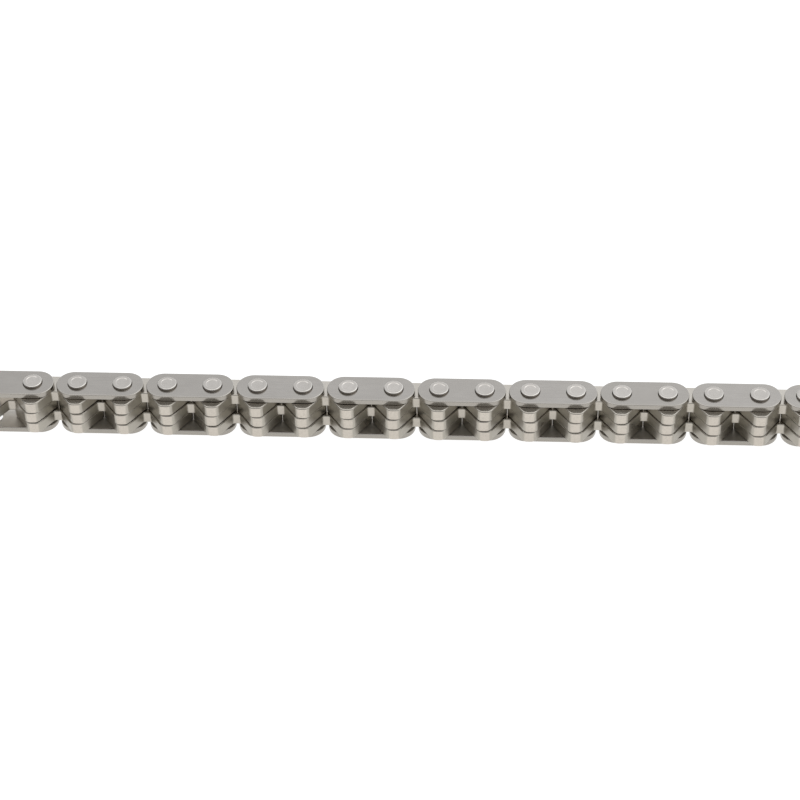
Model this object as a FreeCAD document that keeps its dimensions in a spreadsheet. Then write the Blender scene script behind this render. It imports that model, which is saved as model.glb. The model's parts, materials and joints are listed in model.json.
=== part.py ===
"""Inverted-tooth (silent) drive chain: an open length of twenty pitches, lying on its side.

The strand runs along +X with its teeth towards -Y and its pins along Z.  The origin is on the axis of
the free hole in the first outer link, at mid-width.  Outer links (two plain guide plates, one centre
tooth plate and their two pins) alternate with inner links (two tooth plates that turn on their
neighbours' pins).  The first outer link has no pin in its outer hole and the last inner link has none
in its outer holes, so lengths join end to end with one more pin.  Units are millimetres.
"""

import FreeCAD, Part
import os
import Sketcher

SIZES = {
    "pitch": 8.0,  # pin to pin
    "pin_diameter": 3.3,
    "pin_overhang": 0.48,  # how far a pin stands out of each guide plate
    "pin_edge_run": 0.17,  # the bevel round a pin's end: radial run, then axial fall
    "pin_edge_fall": 0.11,
    "pin_dish_diameter": 2.26,  # the shallow recess in the middle of a pin's end
    "pin_dish_depth": 0.04,
    "pin_dish_wall": 0.09,  # radial run of the recess's sloping wall
    "joint_clearance": 0.03,  # radial, an inner link's plates on the pins
    "end_radius": 3.05,  # full round on the end of every plate, and half a guide plate's width
    "guide_end_centre": 4.7,  # plate centre to the centre of that round
    "guide_thickness": 1.05,
    "guide_edge_round": 0.14,
    "tooth_end_centre": 4.84,
    "tooth_thickness": 2.27,
    "tooth_edge_round": 0.17,
    "side_gap": 0.1,  # between neighbouring plates on the pins
    "tooth_depth": 4.4,  # pitch line to the tooth tips
    "crotch_depth": 1.08,  # pitch line to the bottom of the notch between the teeth
    "crotch_half_width": 0.62,
    "flank_slope": 0.7,  # sideways run of a tooth flank for each millimetre of depth
    "tip_corner_round": 1.2,
    "crotch_corner_round": 0.65,
    "shoulder_round": 1.0,  # where the outer flank meets the full round
}
OUTER_LINKS = 10
INNER_LINKS = 10

doc = FreeCAD.newDocument("InvertedToothChain")
sheet = doc.addObject("Spreadsheet::Sheet", "Sizes")
for row, (alias, value) in enumerate(SIZES.items(), start=1):
    sheet.set(f"A{row}", alias)
    sheet.set(f"B{row}", str(value))
    sheet.setAlias(f"B{row}", alias)
doc.recompute()

# Formulas that more than one piece uses.  Heights are measured from mid-width.
HALF_PITCH = "Sizes.pitch / 2"
UPPER_TOOTH_BASE = "Sizes.tooth_thickness / 2 + Sizes.side_gap"
GUIDE_BASE = f"{UPPER_TOOTH_BASE} + Sizes.tooth_thickness + Sizes.side_gap"
PIN_END = f"{GUIDE_BASE} + Sizes.guide_thickness + Sizes.pin_overhang"
PRESSED_HOLE = "Sizes.pin_diameter"
RUNNING_HOLE = "Sizes.pin_diameter + 2 * Sizes.joint_clearance"


def work_out(formula):
    """The present value of a spreadsheet formula, as a plain number."""
    return float(sheet.evalExpression(formula))


# ---- sketches ------------------------------------------------------------------------------------


def new_sketch(body, plane_role):
    """An empty sketch on one of the body's own origin planes."""
    plane = next(f for f in body.Origin.OriginFeatures if f.Role == plane_role)
    sketch = body.newObject("Sketcher::SketchObject", body.Name + "Sketch")
    sketch.AttachmentSupport = [(plane, "")]
    sketch.MapMode = "FlatFace"
    return sketch


def drive(sketch, kind, *ends, formula):
    """Adds a dimension that follows a spreadsheet formula."""
    index = sketch.addConstraint(Sketcher.Constraint(kind, *ends, work_out(formula)))
    sketch.setExpression(f"Constraints[{index}]", formula)


def quarter_arc(start, end):
    """A quarter of a circle, anticlockwise from one point to the other."""
    across = end - start
    centre = (start + end) / 2 + FreeCAD.Vector(-across.y, across.x, 0) / 2
    spoke, last = start - centre, end - centre
    circle = Part.Circle(centre, FreeCAD.Vector(0, 0, 1), spoke.Length)
    return Part.ArcOfCircle(circle, circle.parameter(centre + spoke), circle.parameter(centre + last))


def add_outline(sketch, corners, round_sides=(), radius=None):
    """A closed outline, anticlockwise, through corners given as pairs of formulas.

    The sides numbered in round_sides are quarter circles of the given radius."""
    points = [FreeCAD.Vector(work_out(across), work_out(up), 0) for across, up in corners]
    for side, start in enumerate(points):
        end = points[(side + 1) % len(points)]
        shape = quarter_arc(start, end) if side in round_sides else Part.LineSegment(start, end)
        sketch.addGeometry(shape, False)
    for side, (across, up) in enumerate(corners):
        after = (side + 1) % len(corners)
        sketch.addConstraint(Sketcher.Constraint("Coincident", side, 2, after, 1))
        drive(sketch, "DistanceX", -1, 1, side, 1, formula=across)
        drive(sketch, "DistanceY", -1, 1, side, 1, formula=up)
        if side in round_sides:
            drive(sketch, "Radius", side, formula=radius)


def add_pin_holes(sketch, diameter):
    """The two pin holes of a plate, half a pitch each side of its centre."""
    for side in (-1, 1):
        place = f"{side} * {HALF_PITCH}"
        centre = FreeCAD.Vector(work_out(place), 0, 0)
        circle = Part.Circle(centre, FreeCAD.Vector(0, 0, 1), work_out(diameter) / 2)
        hole = sketch.addGeometry(circle, False)
        drive(sketch, "DistanceX", -1, 1, hole, 3, formula=place)
        drive(sketch, "DistanceY", -1, 1, hole, 3, formula="0")
        drive(sketch, "Diameter", hole, formula=diameter)


# ---- features ------------------------------------------------------------------------------------


def new_body(label, across, up):
    """An empty body whose origin follows two formulas, along X and along Z."""
    body = doc.addObject("PartDesign::Body", "Body")
    body.Label = label
    body.setExpression("Placement.Base.x", across)
    body.setExpression("Placement.Base.z", up)
    return body


def pad(body, sketch, thickness):
    """Blanks the sketch out to the plate's thickness."""
    feature = body.newObject("PartDesign::Pad", body.Name + "Pad")
    feature.Profile = sketch
    feature.setExpression("Length", thickness)
    return feature


edge_names = {}  # plates of one kind are alike, so their edges are looked for on the first one only


def round_edges(body, base, radius, kind, wanted):
    """Fillets those edges of a plate's last feature that the test picks."""
    step = kind, len(body.Group)
    if step not in edge_names:
        doc.recompute()
        numbered = enumerate(base.Shape.Edges, start=1)
        edge_names[step] = [f"Edge{number}" for number, edge in numbered if wanted(edge)]
    feature = body.newObject("PartDesign::Fillet", body.Name + "Fillet")
    feature.Base = (base, edge_names[step])
    feature.setExpression("Radius", radius)
    return feature


def is_upright_at(edge, across, up):
    """Whether an edge runs along Z through a point, on either half of the plate."""
    box = edge.BoundBox
    upright = box.XLength < 1e-4 and box.YLength < 1e-4
    return upright and abs(abs(box.XMin) - across) < 1e-4 and abs(box.YMin - up) < 1e-4


def is_outline(edge, thickness):
    """Whether an edge lies on the outline of a plate's upper or lower face, outside its pin holes."""
    box = edge.BoundBox
    flat = box.ZLength < 1e-4 and (abs(box.ZMin) < 1e-4 or abs(box.ZMin - thickness) < 1e-4)
    return flat and not edge.isClosed()


# ---- the pieces ----------------------------------------------------------------------------------


def guide_plate(label, across, up):
    """A plain outer plate: a flat bar with fully rounded ends, pressed on its two pins."""
    body = new_body(label, across, up)
    sketch = new_sketch(body, "XY_Plane")
    centre, radius = "Sizes.guide_end_centre", "Sizes.end_radius"
    tip = f"{centre} + {radius}"
    corners = [
        (tip, "0"),
        (centre, radius),
        (f"-{centre}", radius),
        (f"-({tip})", "0"),
        (f"-{centre}", f"-{radius}"),
        (centre, f"-{radius}"),
    ]
    add_outline(sketch, corners, round_sides=(0, 2, 3, 5), radius=radius)
    add_pin_holes(sketch, PRESSED_HOLE)
    blank = pad(body, sketch, "Sizes.guide_thickness")
    thickness = work_out("Sizes.guide_thickness")
    round_edges(body, blank, "Sizes.guide_edge_round", "guide", lambda edge: is_outline(edge, thickness))
    return body


def tooth_plate(label, across, up, hole):
    """A driving plate: a flat back and two pointed teeth with a notch between them."""
    body = new_body(label, across, up)
    sketch = new_sketch(body, "XY_Plane")
    centre, radius = "Sizes.tooth_end_centre", "Sizes.end_radius"
    shoulder = f"{centre} + {radius}"
    deep, shallow = "Sizes.tooth_depth", "Sizes.crotch_depth"
    outer_tip = f"{shoulder} - Sizes.flank_slope * {deep}"
    notch = "Sizes.crotch_half_width"
    inner_tip = f"{notch} + Sizes.flank_slope * ({deep} - {shallow})"
    corners = [
        (shoulder, "0"),
        (centre, radius),
        (f"-{centre}", radius),
        (f"-({shoulder})", "0"),
        (f"-({outer_tip})", f"-{deep}"),
        (f"-({inner_tip})", f"-{deep}"),
        (f"-{notch}", f"-{shallow}"),
        (notch, f"-{shallow}"),
        (inner_tip, f"-{deep}"),
        (outer_tip, f"-{deep}"),
    ]
    add_outline(sketch, corners, round_sides=(0, 2), radius=radius)
    add_pin_holes(sketch, hole)
    feature = pad(body, sketch, "Sizes.tooth_thickness")
    corner_rounds = [
        ("Sizes.tip_corner_round", outer_tip, f"-{deep}"),
        ("Sizes.tip_corner_round", inner_tip, f"-{deep}"),
        ("Sizes.crotch_corner_round", notch, f"-{shallow}"),
        ("Sizes.shoulder_round", shoulder, "0"),
    ]
    for corner_radius, corner_across, corner_up in corner_rounds:
        spot = work_out(corner_across), work_out(corner_up)
        feature = round_edges(body, feature, corner_radius, "tooth", lambda edge: is_upright_at(edge, *spot))
    thickness = work_out("Sizes.tooth_thickness")
    round_edges(body, feature, "Sizes.tooth_edge_round", "tooth", lambda edge: is_outline(edge, thickness))
    return body


def pins(label, across, count):
    """A link's pins: turned rods with a bevelled rim and a shallow recess in each end.

    The first stands at the given place along the strand, the second one pitch further on."""
    body = new_body(label, across, "0")
    sketch = new_sketch(body, "XZ_Plane")
    radius = "Sizes.pin_diameter / 2"
    flat = f"{radius} - Sizes.pin_edge_run"
    dish = "Sizes.pin_dish_diameter / 2"
    floor = f"{dish} - Sizes.pin_dish_wall"
    recess = f"{PIN_END} - Sizes.pin_dish_depth"
    upper_end = [
        ("0", recess),
        (floor, recess),
        (dish, PIN_END),
        (flat, PIN_END),
        (radius, f"{PIN_END} - Sizes.pin_edge_fall"),
    ]
    lower_end = [(place, f"-({height})") for place, height in upper_end]
    add_outline(sketch, lower_end + upper_end[::-1])
    turned = body.newObject("PartDesign::Revolution", body.Name + "Turned")
    turned.Profile = sketch
    turned.ReferenceAxis = (sketch, ["V_Axis"])
    turned.Angle = 360
    if count > 1:
        body.AllowCompound = True
        row = body.newObject("PartDesign::LinearPattern", body.Name + "Row")
        row.Originals = [turned]
        row.Direction = (sketch, ["H_Axis"])
        row.setExpression("Length", "Sizes.pitch")
        row.Occurrences = count
        body.Tip = row
    return body


# ---- the strand ----------------------------------------------------------------------------------

pieces = []
for number in range(1, OUTER_LINKS + 1):
    link = f"outer_link_{number:02d}"
    middle = f"{2 * number - 1.5} * Sizes.pitch"
    below = f"-({GUIDE_BASE} + Sizes.guide_thickness)"
    centred = "-Sizes.tooth_thickness / 2"
    pieces.append(guide_plate(f"{link}_upper_guide_plate", middle, GUIDE_BASE))
    pieces.append(tooth_plate(f"{link}_centre_tooth_plate", middle, centred, PRESSED_HOLE))
    pieces.append(guide_plate(f"{link}_lower_guide_plate", middle, below))
    if number == 1:
        pieces.append(pins(f"{link}_pin", "Sizes.pitch", 1))
    else:
        pieces.append(pins(f"{link}_pins", f"{2 * number - 2} * Sizes.pitch", 2))

for number in range(1, INNER_LINKS + 1):
    link = f"inner_link_{number:02d}"
    middle = f"{2 * number - 0.5} * Sizes.pitch"
    below = f"-({UPPER_TOOTH_BASE} + Sizes.tooth_thickness)"
    pieces.append(tooth_plate(f"{link}_upper_tooth_plate", middle, UPPER_TOOTH_BASE, RUNNING_HOLE))
    pieces.append(tooth_plate(f"{link}_lower_tooth_plate", middle, below, RUNNING_HOLE))

doc.recompute()
for thing in doc.Objects:
    if "Invalid" in thing.State or "Error" in thing.State:
        raise RuntimeError(f"{thing.Label} did not build: {thing.State}")
os.makedirs("parts", exist_ok=True)
for piece in pieces:
    if piece.Shape.isNull() or not piece.Shape.isValid():
        raise RuntimeError(f"{piece.Label} has no valid shape")
    piece.Shape.exportStep(f"parts/{piece.Label}.step")
    solids = len(piece.Shape.Solids)
    print(piece.Label, "solids", solids, "volume", round(piece.Shape.Volume, 3))
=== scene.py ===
import json
import math
import random

import bmesh
import bpy
from mathutils import Matrix, Vector

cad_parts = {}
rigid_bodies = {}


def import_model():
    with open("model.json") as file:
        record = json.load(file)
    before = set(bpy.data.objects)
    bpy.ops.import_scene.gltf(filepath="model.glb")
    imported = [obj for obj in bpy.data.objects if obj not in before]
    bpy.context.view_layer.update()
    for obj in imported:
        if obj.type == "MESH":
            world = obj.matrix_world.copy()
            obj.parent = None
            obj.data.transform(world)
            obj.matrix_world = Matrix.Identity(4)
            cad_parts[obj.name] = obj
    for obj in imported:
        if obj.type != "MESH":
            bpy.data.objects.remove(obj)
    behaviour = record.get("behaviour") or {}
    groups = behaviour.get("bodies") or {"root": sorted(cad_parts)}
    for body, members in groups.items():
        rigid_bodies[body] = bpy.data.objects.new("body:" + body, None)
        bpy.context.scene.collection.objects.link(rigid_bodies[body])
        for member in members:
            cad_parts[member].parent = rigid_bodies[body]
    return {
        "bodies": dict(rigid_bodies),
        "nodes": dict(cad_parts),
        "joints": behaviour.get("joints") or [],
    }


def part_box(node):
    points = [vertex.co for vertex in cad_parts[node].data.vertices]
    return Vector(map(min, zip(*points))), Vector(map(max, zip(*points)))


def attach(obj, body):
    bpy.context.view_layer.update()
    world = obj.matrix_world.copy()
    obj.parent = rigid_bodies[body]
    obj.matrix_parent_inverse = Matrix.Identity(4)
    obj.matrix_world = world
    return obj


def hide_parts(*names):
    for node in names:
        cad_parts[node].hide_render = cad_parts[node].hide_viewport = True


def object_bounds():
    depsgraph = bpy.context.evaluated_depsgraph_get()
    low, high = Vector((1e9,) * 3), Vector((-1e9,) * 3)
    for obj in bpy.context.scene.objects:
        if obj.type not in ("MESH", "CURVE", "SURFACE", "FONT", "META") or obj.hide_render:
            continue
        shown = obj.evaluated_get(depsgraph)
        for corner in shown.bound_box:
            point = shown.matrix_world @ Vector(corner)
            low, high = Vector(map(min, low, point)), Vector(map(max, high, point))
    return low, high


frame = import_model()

cad_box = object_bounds()
MM = 0.001
MICRON = 0.000001
PITCH = abs(frame["joints"][1]["pos_m"][0] - frame["joints"][0]["pos_m"][0])
random.seed(11)

# ---------------------------------------------------------------------------------------------------
# Guide plates: plain flat bars with fully rounded ends, one on each side of every outer link.
# They are blanked from cold-rolled strip, tumbled to a satin and pressed on the link's two pins.
# The faces keep a faint rolling grain; the inner faces, which touch the tooth plates, are painted much
# lighter, a painted light that lifts the shade between the plates.

GUIDE_RIM_ROUND = 0.14 * MM
PRESSED_HOLE = 1.65 * MM
HOLE_MOUTH = 0.11 * MM
HOLE_SIDES = 48
ARC_STEP = math.radians(7.5)
RIM_STEPS = 6
SAME_POINT = 0.01 * MM
LEVEL_FACE = 0.9999
NO_LEAN = (0.0, 0.0, 0.0)

GUIDE_STEEL = (0.445, 0.422, 0.396)
GUIDE_STEEL_PALE = (0.475, 0.452, 0.424)
GUIDE_GRAIN = (0.395, 0.375, 0.352)
GUIDE_RUBBED = (0.46, 0.435, 0.40)
GUIDE_SHEARED = (0.350, 0.328, 0.295)
# Painted light: the inner faces' colours are far lighter than the outer faces', to lift the shade
# between the plates.
GUIDE_INNER_PAINTED_LIGHT = (0.64, 0.61, 0.565)
GUIDE_INNER_PAINTED_LIGHT_DULL = (0.55, 0.525, 0.485)

# Grains per metre along the plate, across it and through it.
GUIDE_ROLLING = (260, 9000, 9000)
GUIDE_DIMPLES = (3800, 3800, 3800)
GUIDE_CLOUDS = (300, 420, 300)
INNER_SWIRLS = (900, 900, 900)
PIECE_SHIFT = (3.1, 1.7, 2.3)


def rounded(corners):
    """A closed outline of 2-D points, anticlockwise, from (x, y, radius) corners."""
    outline = []
    for here, corner in enumerate(corners):
        at = Vector(corner[:2])
        back = (Vector(corners[here - 1][:2]) - at).normalized()
        ahead = (Vector(corners[(here + 1) % len(corners)][:2]) - at).normalized()
        turn = math.pi - back.angle(ahead)
        inward = (back + ahead).normalized()
        radius = corner[2]
        centre = at + inward * (radius / math.cos(turn / 2))
        left = 1 if back.cross(ahead) < 0 else -1
        steps = max(2, math.ceil(turn / ARC_STEP))
        spoke = -inward * radius
        for step in range(steps + 1):
            swing = left * turn * (step / steps - 0.5)
            point = centre + Matrix.Rotation(swing, 2) @ spoke
            if not outline or (point - outline[-1]).length > SAME_POINT:
                outline.append(point)
    if (outline[0] - outline[-1]).length < SAME_POINT:
        outline.pop()
    return outline


def inset(outline, distance):
    """The outline moved inwards by a small distance."""
    moved = []
    for here, point in enumerate(outline):
        along = outline[(here + 1) % len(outline)] - outline[here - 1]
        moved.append(point + Vector((-along.y, along.x)).normalized() * distance)
    return moved


def rim_levels(thickness, rim):
    """Height and inset of each ring of a plate's edge, up a rounded rim, its wall and the other rim."""
    quarter = [math.pi / 2 * step / RIM_STEPS for step in range(RIM_STEPS + 1)]
    lower = [(rim * (1 - math.sin(a)), rim * (1 - math.cos(a))) for a in reversed(quarter)]
    upper = [(thickness - height, depth) for height, depth in reversed(lower)]
    return lower + upper


def finished_mesh(name, mesh):
    """Turns a bmesh into a mesh with outward normals, smooth walls and dead flat level faces."""
    bmesh.ops.recalc_face_normals(mesh, faces=mesh.faces)
    for face in mesh.faces:
        face.smooth = abs(face.normal.z) < LEVEL_FACE
    data = bpy.data.meshes.new(name)
    mesh.to_mesh(data)
    mesh.free()
    return data


def join_rings(mesh, lower, upper):
    """A band of faces between two rings of the same number of points."""
    for here in range(len(lower)):
        after = (here + 1) % len(lower)
        mesh.faces.new((lower[here], lower[after], upper[after], upper[here]))


def circle_points(middle, radius, sides):
    """Evenly spaced points of a circle about a place along the strand, anticlockwise."""
    turns = [math.tau * spoke / sides for spoke in range(sides)]
    return [(middle + radius * math.cos(angle), radius * math.sin(angle)) for angle in turns]


def blanked_plate(name, outline, hole_radius, thickness, rim):
    """A stamped plate with two pin holes, centred on its own middle, as one closed mesh."""
    mesh = bmesh.new()
    rings = []
    for height, depth in rim_levels(thickness, rim):
        ring = inset(outline, depth) if depth > 0 else outline
        rings.append([mesh.verts.new((p.x, p.y, height - thickness / 2)) for p in ring])
    for lower, upper in zip(rings, rings[1:]):
        join_rings(mesh, lower, upper)
    lower_loops = [rings[0]]
    upper_loops = [rings[-1]]
    hole_levels = [
        (0, HOLE_MOUTH),
        (HOLE_MOUTH, 0),
        (thickness - HOLE_MOUTH, 0),
        (thickness, HOLE_MOUTH),
    ]
    for side in (-1, 1):
        wall = []
        for height, flare in hole_levels:
            ring = circle_points(side * PITCH / 2, hole_radius + flare, HOLE_SIDES)
            wall.append([mesh.verts.new((x, y, height - thickness / 2)) for x, y in ring])
        for lower, upper in zip(wall, wall[1:]):
            join_rings(mesh, upper, lower)
        lower_loops.append(wall[0])
        upper_loops.append(wall[-1])
    for loops in (lower_loops, upper_loops):
        edges = []
        for loop in loops:
            for here, corner in enumerate(loop):
                edges.append(mesh.edges.get((corner, loop[(here + 1) % len(loop)])))
        bmesh.ops.triangle_fill(mesh, use_beauty=True, edges=edges)
    return finished_mesh(name, mesh)


def place(name, data, body, node, lean):
    """Puts a piece where its CAD node is, turned by up to the small lean that its play allows."""
    low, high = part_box(node)
    piece = bpy.data.objects.new(name, data)
    bpy.context.scene.collection.objects.link(piece)
    piece.location = ((low.x + high.x) / 2, 0, (low.z + high.z) / 2)
    piece.rotation_euler = [random.uniform(-most, most) for most in lean]
    even = piece.modifiers.new("even_shading", "WEIGHTED_NORMAL")
    even.keep_sharp = True
    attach(piece, body)
    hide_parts(node)


def add_node(tree, kind, settings=None, **inputs):
    """Adds a shader node.

    An input is named, or numbered after an underscore, and is a value or another node's socket."""
    node = tree.nodes.new(kind)
    for key, value in (settings or {}).items():
        setattr(node, key, value)
    for key, value in inputs.items():
        socket = node.inputs[int(key[1:])] if key[0] == "_" else node.inputs[key]
        if isinstance(value, bpy.types.NodeSocket):
            tree.links.new(value, socket)
        else:
            socket.default_value = value
    return node


def sum_up(tree, operation, first, second, third=0.0):
    """One sum on plain values: MULTIPLY, SUBTRACT, POWER or MULTIPLY_ADD."""
    maths = {"operation": operation}
    return add_node(tree, "ShaderNodeMath", maths, _0=first, _1=second, _2=third).outputs[0]


def remap(tree, value, low, high, to_low, to_high):
    """A value stretched from one range to another, and held at its ends."""
    ranged = add_node(tree, "ShaderNodeMapRange", _0=value, _1=low, _2=high, _3=to_low, _4=to_high)
    return ranged.outputs[0]


def start_steel(name):
    """An empty metal finish, its tree and its shader, with two things that differ from piece to piece:
    the surface places that grain is read at, and a number from 0 to 1."""
    finish = bpy.data.materials.new(name)
    finish.use_nodes = True
    tree = finish.node_tree
    shader = tree.nodes["Principled BSDF"]
    shader.inputs["Metallic"].default_value = 1.0
    places = add_node(tree, "ShaderNodeTexCoord")
    piece = add_node(tree, "ShaderNodeObjectInfo")
    shift = add_node(tree, "ShaderNodeVectorMath", {"operation": "SCALE"}, _0=PIECE_SHIFT)
    tree.links.new(piece.outputs["Random"], shift.inputs["Scale"])
    add = {"operation": "ADD"}
    spot = add_node(tree, "ShaderNodeVectorMath", add, _0=places.outputs["Object"], _1=shift.outputs[0])
    return finish, tree, shader, spot.outputs[0], piece.outputs["Random"]


def grain(tree, spot, grains, detail=3.0, roughness=0.6):
    """Noise with its own number of grains per metre along each axis."""
    stretch = {"operation": "MULTIPLY"}
    scaled = add_node(tree, "ShaderNodeVectorMath", stretch, _0=spot, _1=grains).outputs[0]
    look = {"Scale": 1.0, "Detail": detail, "Roughness": roughness}
    return add_node(tree, "ShaderNodeTexNoise", Vector=scaled, **look).outputs["Fac"]


def blend_colours(tree, share, first, second):
    """A mix of two colours or sockets."""
    mix = add_node(tree, "ShaderNodeMix", {"data_type": "RGBA"}, _0=share)
    for index, colour in ((6, first), (7, second)):
        if isinstance(colour, bpy.types.NodeSocket):
            tree.links.new(colour, mix.inputs[index])
        else:
            mix.inputs[index].default_value = (*colour, 1)
    return mix.outputs[2]


def tint(tree, steel, colour, mask, low=0.0, high=1.0, most=1.0):
    """Lays a colour over the steel: none where the mask is under low, and the most of it over high."""
    return blend_colours(tree, remap(tree, mask, low, high, 0.0, most), steel, colour)


def rim_and_wall(tree):
    """Where a surface is a rounded rim, and where it is an upright wall, each from 0 to 1."""
    geometry = add_node(tree, "ShaderNodeNewGeometry")
    parts = add_node(tree, "ShaderNodeSeparateXYZ", _0=geometry.outputs["Normal"])
    levelness = sum_up(tree, "POWER", parts.outputs["Z"], 2.0)
    steepness = sum_up(tree, "SUBTRACT", 1.0, levelness)
    between = sum_up(tree, "MULTIPLY", levelness, steepness)
    rim = remap(tree, between, 0.03, 0.2, 0.0, 1.0)
    wall = remap(tree, levelness, 0.25, 0.05, 0.0, 1.0)
    return rim, wall


def rough_up(tree, shader, *layers):
    """Stacks bumps on a shader; each layer is a height, its depth in metres and its strength."""
    normal = None
    for height, depth, strength in layers:
        bump = add_node(tree, "ShaderNodeBump", Height=height, Distance=depth, Strength=strength)
        if normal:
            tree.links.new(normal, bump.inputs["Normal"])
        normal = bump.outputs[0]
    tree.links.new(normal, shader.inputs["Normal"])


guide_finish, tree, shader, spot, luck = start_steel("guide_plate_steel")
rolling = grain(tree, spot, GUIDE_ROLLING)
dimples = grain(tree, spot, GUIDE_DIMPLES, detail=5.0, roughness=0.7)
clouds = grain(tree, spot, GUIDE_CLOUDS, detail=2.0)
rim, wall = rim_and_wall(tree)
steel = blend_colours(tree, remap(tree, clouds, 0.3, 0.7, 0.0, 1.0), GUIDE_STEEL, GUIDE_STEEL_PALE)
steel = tint(tree, steel, GUIDE_GRAIN, rolling, low=0.35, high=0.75, most=0.6)
steel = tint(tree, steel, GUIDE_RUBBED, rim, most=0.75)
steel = tint(tree, steel, GUIDE_SHEARED, wall)
steel = tint(tree, steel, GUIDE_SHEARED, luck, most=0.2)
tree.links.new(steel, shader.inputs["Base Color"])
satin = remap(tree, dimples, 0.3, 0.75, 0.15, 0.24)
duller_walls = remap(tree, wall, 0.0, 1.0, 1.0, 1.35)
tree.links.new(sum_up(tree, "MULTIPLY", satin, duller_walls), shader.inputs["Roughness"])
faint = remap(tree, wall, 0.0, 1.0, 0.2, 0.04)
rough_up(tree, shader, (rolling, 1.5 * MICRON, faint), (dimples, 2.5 * MICRON, faint))

# The inner faces get a much lighter colour: painted light that lifts the shade between the guide and
# the tooth plates.
inner_face_painted_light, tree, shader, spot, luck = start_steel("guide_plate_inner_face_painted_light")
swirls = grain(tree, spot, INNER_SWIRLS)
tree.links.new(blend_colours(tree, swirls, GUIDE_INNER_PAINTED_LIGHT, GUIDE_INNER_PAINTED_LIGHT_DULL), shader.inputs["Base Color"])
tree.links.new(remap(tree, swirls, 0.3, 0.7, 0.38, 0.5), shader.inputs["Roughness"])

low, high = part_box("outer_link_05_upper_guide_plate")
half_length = (high.x - low.x) / 2
half_width = (high.y - low.y) / 2
guide_thickness = high.z - low.z
guide_outline = rounded(
    [
        (half_length, -half_width, half_width),
        (half_length, half_width, half_width),
        (-half_length, half_width, half_width),
        (-half_length, -half_width, half_width),
    ]
)
outer_links = sorted(name for name in frame["bodies"] if name.startswith("outer_link"))
inner_links = sorted(name for name in frame["bodies"] if name.startswith("inner_link"))
for link in outer_links:
    for level, inward in (("upper", -1), ("lower", 1)):
        node = f"{link}_{level}_guide_plate"
        data = blanked_plate(node, guide_outline, PRESSED_HOLE, guide_thickness, GUIDE_RIM_ROUND)
        data.materials.append(guide_finish)
        data.materials.append(inner_face_painted_light)
        for face in data.polygons:
            face.material_index = int(face.normal.z * inward > LEVEL_FACE)
        place(f"{node}_finished", data, link, node, NO_LEAN)

# ---------------------------------------------------------------------------------------------------
# Tooth plates: the driving plates, with a flat back and two pointed teeth either side of a notch.
# They are fine-blanked from thicker strip, so the walls keep upright shear lines.  The walls are
# darker on the flanks and towards the roots of the teeth, and lighter on the faces at the tips.

TOOTH_RIM_ROUND = 0.20 * MM
RUNNING_HOLE = 1.68 * MM
FLANK_SLOPE = 0.7
NOTCH_DEPTH = 1.08 * MM
NOTCH_HALF_WIDTH = 0.62 * MM
NOTCH_ROUND = 0.65 * MM
TIP_CORNER_ROUND = 1.2 * MM
TIP_CROWN = 0.05 * MM
TIP_CROWN_ROUND = 3.0 * MM
SHOULDER_ROUND = 0.75 * MM
BACK_CORNER_ROUND = 2.8 * MM
PLATE_END_GAP = 0.10 * MM
TOOTH_LEAN = (math.radians(0.5), math.radians(0.2), math.radians(0.3))

TOOTH_FACE = (0.575, 0.540, 0.490)
TOOTH_FACE_PALE = (0.615, 0.580, 0.530)
TOOTH_ROOT = (0.375, 0.355, 0.310)
TOOTH_TIP = (0.560, 0.515, 0.455)
TOOTH_PITS = (0.36, 0.33, 0.285)
# Painted shade: the rounded rims are painted dark, for the shade in the grooves between the stacked
# plates.
TOOTH_RIM_PAINTED_SHADE = (0.27, 0.252, 0.222)
ROOT_END = -1.6 * MM
TIP_START = -3.9 * MM

# Grains per metre along the plate, across it and through it.
SHEAR_LINES = (7000, 7000, 350)
TOOTH_DIMPLES = (4200, 4200, 4200)
TOOTH_CLOUDS = (350, 350, 350)
TOOTH_KNOCKS = (2400, 2400, 2400)

low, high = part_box("outer_link_05_centre_tooth_plate")
reach = PITCH - PLATE_END_GAP / 2
back = high.y
tip_depth = -low.y
tooth_thickness = high.z - low.z
outer_tip = reach - FLANK_SLOPE * tip_depth
inner_tip = NOTCH_HALF_WIDTH + FLANK_SLOPE * (tip_depth - NOTCH_DEPTH)
tip_middle = (outer_tip + inner_tip) / 2
right_half = [
    (NOTCH_HALF_WIDTH, -NOTCH_DEPTH, NOTCH_ROUND),
    (inner_tip, TIP_CROWN - tip_depth, TIP_CORNER_ROUND),
    (tip_middle, -tip_depth, TIP_CROWN_ROUND),
    (outer_tip, TIP_CROWN - tip_depth, TIP_CORNER_ROUND),
    (reach, 0.0, SHOULDER_ROUND),
    (reach, back, BACK_CORNER_ROUND),
]
tooth_outline = rounded(right_half + [(-x, y, radius) for x, y, radius in reversed(right_half)])

tooth_finish, tree, shader, spot, luck = start_steel("tooth_plate_steel")
shear_lines = grain(tree, spot, SHEAR_LINES, detail=4.0)
dimples = grain(tree, spot, TOOTH_DIMPLES, detail=5.0, roughness=0.75)
clouds = grain(tree, spot, TOOTH_CLOUDS, detail=2.0)
knocks = grain(tree, spot, TOOTH_KNOCKS, detail=3.0, roughness=0.7)
rim, wall = rim_and_wall(tree)
on_plate = add_node(tree, "ShaderNodeTexCoord")
depth = add_node(tree, "ShaderNodeSeparateXYZ", _0=on_plate.outputs["Object"])
facing = add_node(tree, "ShaderNodeSeparateXYZ", _0=on_plate.outputs["Normal"])
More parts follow.
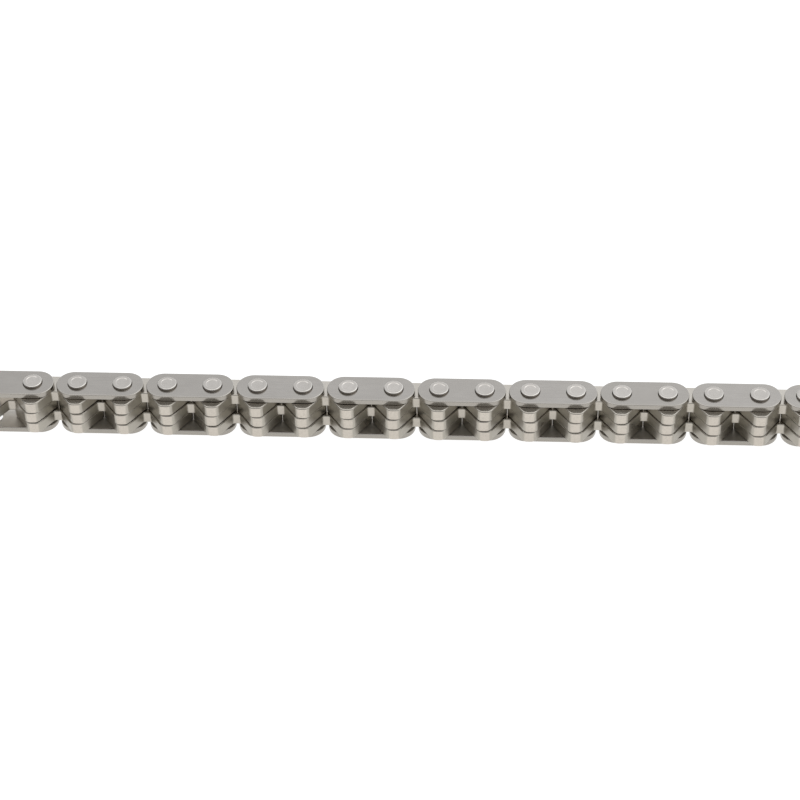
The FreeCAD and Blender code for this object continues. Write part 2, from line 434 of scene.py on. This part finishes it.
# Walls that face along the teeth and lie near the tips take the lighter tip colour; the flanks and the
# walls near the roots take the darker root colour.
towards_sprocket = remap(tree, facing.outputs["Y"], -0.84, -0.95, 0.12, 1.0)
near_tip = remap(tree, depth.outputs["Y"], ROOT_END, TIP_START, 0.55, 1.0)
tip_tone_share = sum_up(tree, "MULTIPLY", towards_sprocket, near_tip)
wall_steel = blend_colours(tree, tip_tone_share, TOOTH_ROOT, TOOTH_TIP)
steel = blend_colours(tree, remap(tree, clouds, 0.3, 0.7, 0.0, 1.0), TOOTH_FACE, TOOTH_FACE_PALE)
steel = tint(tree, steel, wall_steel, wall)
# The rounded rims are painted dark: painted shade in the grooves between the stacked plates.
steel = tint(tree, steel, TOOTH_RIM_PAINTED_SHADE, rim, most=0.8)
for marks, lightest_mark, most in ((dimples, 0.52, 0.7), (knocks, 0.5, 0.4)):
    on_walls = sum_up(tree, "MULTIPLY", remap(tree, marks, lightest_mark, 0.72, 0.0, most), wall)
    steel = blend_colours(tree, on_walls, steel, TOOTH_PITS)
steel = tint(tree, steel, TOOTH_PITS, luck, most=0.12)
tree.links.new(steel, shader.inputs["Base Color"])
satin = remap(tree, clouds, 0.3, 0.7, 0.17, 0.23)
duller_walls = remap(tree, wall, 0.0, 1.0, 1.0, 1.6)
tree.links.new(sum_up(tree, "MULTIPLY", satin, duller_walls), shader.inputs["Roughness"])
worn = remap(tree, wall, 0.0, 1.0, 0.02, 0.4)
bumps = (shear_lines, 4 * MICRON, worn), (knocks, 12 * MICRON, worn), (dimples, 7 * MICRON, worn)
rough_up(tree, shader, *bumps)


def add_tooth_plate(node, link, hole_radius):
    """One driving plate of a link, in its CAD node's place."""
    data = blanked_plate(node, tooth_outline, hole_radius, tooth_thickness, TOOTH_RIM_ROUND)
    data.materials.append(tooth_finish)
    place(f"{node}_finished", data, link, node, TOOTH_LEAN)


for link in outer_links:
    add_tooth_plate(f"{link}_centre_tooth_plate", link, PRESSED_HOLE)
for link in inner_links:
    add_tooth_plate(f"{link}_upper_tooth_plate", link, RUNNING_HOLE)
    add_tooth_plate(f"{link}_lower_tooth_plate", link, RUNNING_HOLE)

# ---------------------------------------------------------------------------------------------------
# Pins: round rods ground to size, cut off in a lathe and pressed through both guide plates.
# Each end has a small bevelled rim round a flat ring and a shallow recess; the rim is painted much
# lighter, partly rubbed wear and partly a painted highlight.

PIN_SIDES = 72
# Radius, and fall below the end's highest level, from the rod's wall to the middle of the recess.
PIN_END_PROFILE = [
    (1.65 * MM, 0.09 * MM),
    (1.642 * MM, 0.065 * MM),
    (1.622 * MM, 0.045 * MM),
    (1.58 * MM, 0.014 * MM),
    (1.55 * MM, 0.003 * MM),
    (1.52 * MM, 0.0),
    (1.13 * MM, 0.0),
    (1.10 * MM, 0.006 * MM),
    (1.04 * MM, 0.035 * MM),
    (1.01 * MM, 0.04 * MM),
    (0.30 * MM, 0.044 * MM),
]
PIN_STEEL = (0.610, 0.578, 0.545)
PIN_STEEL_DULL = (0.570, 0.538, 0.505)
PIN_RUBBED_AND_HIGHLIGHT = (0.76, 0.74, 0.71)
# Painted shade: the short side of each pin, standing out of the guide plate, is painted darker than its
# end.
PIN_WALL_PAINTED_SHADE = (0.50, 0.47, 0.43)
PIN_DIMPLES = (4500, 4500, 4500)
PIN_CLOUDS = (900, 900, 900)

pin_finish, tree, shader, spot, luck = start_steel("pin_steel")
dimples = grain(tree, spot, PIN_DIMPLES, detail=5.0, roughness=0.7)
clouds = grain(tree, spot, PIN_CLOUDS, detail=2.0)
rim, wall = rim_and_wall(tree)
steel = blend_colours(tree, remap(tree, clouds, 0.3, 0.7, 0.0, 1.0), PIN_STEEL, PIN_STEEL_DULL)
# The pin's side is painted darker than its end: painted shade where it stands on the guide plate.
steel = tint(tree, steel, PIN_WALL_PAINTED_SHADE, wall)
# The bevelled rim is painted much lighter: partly rubbed wear, partly a painted highlight.
steel = tint(tree, steel, PIN_RUBBED_AND_HIGHLIGHT, rim, most=0.9)
steel = tint(tree, steel, GUIDE_STEEL, luck, most=0.28)
tree.links.new(steel, shader.inputs["Base Color"])
tree.links.new(remap(tree, dimples, 0.3, 0.75, 0.13, 0.22), shader.inputs["Roughness"])
rough_up(tree, shader, (dimples, 3 * MICRON, 0.25))


def turned_pins(name, centres, half_length):
    """A link's pins as closed turned solids about the given places along the strand."""
    mesh = bmesh.new()
    upper = [(radius, half_length - fall) for radius, fall in PIN_END_PROFILE]
    profile = [(radius, -height) for radius, height in reversed(upper)] + upper
    for middle in centres:
        rings = []
        for radius, height in profile:
            ring = circle_points(middle, radius, PIN_SIDES)
            rings.append([mesh.verts.new((x, y, height)) for x, y in ring])
        for lower, above in zip(rings, rings[1:]):
            join_rings(mesh, lower, above)
        mesh.faces.new(reversed(rings[0]))
        mesh.faces.new(rings[-1])
    return finished_mesh(name, mesh)


for link in outer_links:
    node = next(name for name in frame["nodes"] if name.startswith(f"{link}_pin"))
    low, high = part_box(node)
    count = 1 if high.x - low.x < PITCH / 2 else 2
    centres = [(number - (count - 1) / 2) * PITCH for number in range(count)]
    data = turned_pins(node, centres, (high.z - low.z) / 2)
    data.materials.append(pin_finish)
    place(f"{node}_finished", data, link, node, NO_LEAN)

# ---------------------------------------------------------------------------------------------------
# The studio: a plain white table under an even white room, and one wide soft lamp above it.
# The table glows a little of its own, so that the strand throws hardly any shadow on it.

TABLE_SIZE = 3.0
TABLE_GREY = (0.25, 0.25, 0.25, 1)
TABLE_ROUGHNESS = 0.7
TABLE_GLOW = 0.93
ROOM_COLOUR = (0.97, 0.985, 1.0, 1)
ROOM_BRIGHTNESS = 0.955
ROOM_BEHIND_CAMERA = 0.45
ROOM_BRIGHTER_RIGHT = 0.44
ROOM_OVERHEAD = 0.25
LAMP_SIZE = 0.8
LAMP_WATTS = 1.5
LAMP_COLOUR = (1.0, 0.985, 0.96)
LAMP_BACK = 0.02
LAMP_HEIGHT = 0.6


def add_to_scene(name, data):
    """A new object in the scene."""
    thing = bpy.data.objects.new(name, data)
    bpy.context.scene.collection.objects.link(thing)
    return thing


middle = (cad_box[0][0] + cad_box[1][0]) / 2
table_mesh = bmesh.new()
bmesh.ops.create_grid(table_mesh, x_segments=8, y_segments=8, size=TABLE_SIZE / 2)
table_data = bpy.data.meshes.new("table_top")
table_mesh.to_mesh(table_data)
table_mesh.free()
table = add_to_scene("table_top", table_data)
table.location = (middle, 0, cad_box[0][2])
table_white = bpy.data.materials.new("table_white")
table_white.use_nodes = True
paint = table_white.node_tree.nodes["Principled BSDF"].inputs
paint["Base Color"].default_value = TABLE_GREY
paint["Roughness"].default_value = TABLE_ROUGHNESS
paint["Emission Color"].default_value = (1, 1, 1, 1)
paint["Emission Strength"].default_value = TABLE_GLOW
table_data.materials.append(table_white)

# The room is dimmer behind the camera and straight overhead, and a little brighter to the right.
world = bpy.data.worlds.new("white_room")
bpy.context.scene.world = world
world.use_nodes = True
room = world.node_tree
outward = add_node(room, "ShaderNodeTexCoord")
toward = add_node(room, "ShaderNodeSeparateXYZ", _0=outward.outputs["Generated"])
from_front = remap(room, toward.outputs["Y"], -0.75, 0.2, ROOM_BEHIND_CAMERA, ROOM_BRIGHTNESS)
sideways = sum_up(room, "MULTIPLY_ADD", toward.outputs["X"], ROOM_BRIGHTER_RIGHT, 1.0)
overhead = remap(room, toward.outputs["Z"], 0.88, 0.99, 1.0, ROOM_OVERHEAD)
level_light = sum_up(room, "MULTIPLY", from_front, sideways)
room_light = sum_up(room, "MULTIPLY", level_light, overhead)
room.nodes["Background"].inputs["Color"].default_value = ROOM_COLOUR
room.links.new(room_light, room.nodes["Background"].inputs["Strength"])

lamp_data = bpy.data.lights.new("softbox", "AREA")
lamp_data.shape = "SQUARE"
lamp_data.size = LAMP_SIZE
lamp_data.energy = LAMP_WATTS
lamp_data.color = LAMP_COLOUR
lamp = add_to_scene("softbox", lamp_data)
lamp.location = (middle, LAMP_BACK, LAMP_HEIGHT)
lamp.rotation_euler = (Vector((middle, 0, 0)) - lamp.location).to_track_quat("-Z", "Y").to_euler()

# The camera looks down at the strand from in front, a little from the right.
CAMERA_PITCH = math.radians(42.95)
CAMERA_YAW = math.radians(-3.83)
CAMERA_ROLL = math.radians(-1.57)
CAMERA_DISTANCE = 54.64 * PITCH
CAMERA_AIM = Vector((9.128 * PITCH, 0, 0))
CAMERA_RISE = 0.185 * PITCH
CAMERA_LENS = 111.15
CAMERA_SENSOR = 36.0
NEAREST_SEEN = 0.01
level_run = Vector((math.sin(CAMERA_YAW), math.cos(CAMERA_YAW), 0))
forward = level_run * math.cos(CAMERA_PITCH) - Vector((0, 0, math.sin(CAMERA_PITCH)))
level_right = Vector((math.cos(CAMERA_YAW), -math.sin(CAMERA_YAW), 0))
level_up = level_right.cross(forward)
right = level_right * math.cos(CAMERA_ROLL) + level_up * math.sin(CAMERA_ROLL)
up = level_up * math.cos(CAMERA_ROLL) - level_right * math.sin(CAMERA_ROLL)
camera_data = bpy.data.cameras.new("camera")
camera_data.lens = CAMERA_LENS
camera_data.sensor_width = CAMERA_SENSOR
camera_data.clip_start = NEAREST_SEEN
camera = add_to_scene("camera", camera_data)
turn = Matrix((right, up, -forward)).transposed().to_4x4()
stand = CAMERA_AIM - forward * CAMERA_DISTANCE + up * CAMERA_RISE
camera.matrix_world = Matrix.Translation(stand) @ turn
bpy.context.scene.camera = camera
bpy.context.scene.view_settings.view_transform = "Standard"
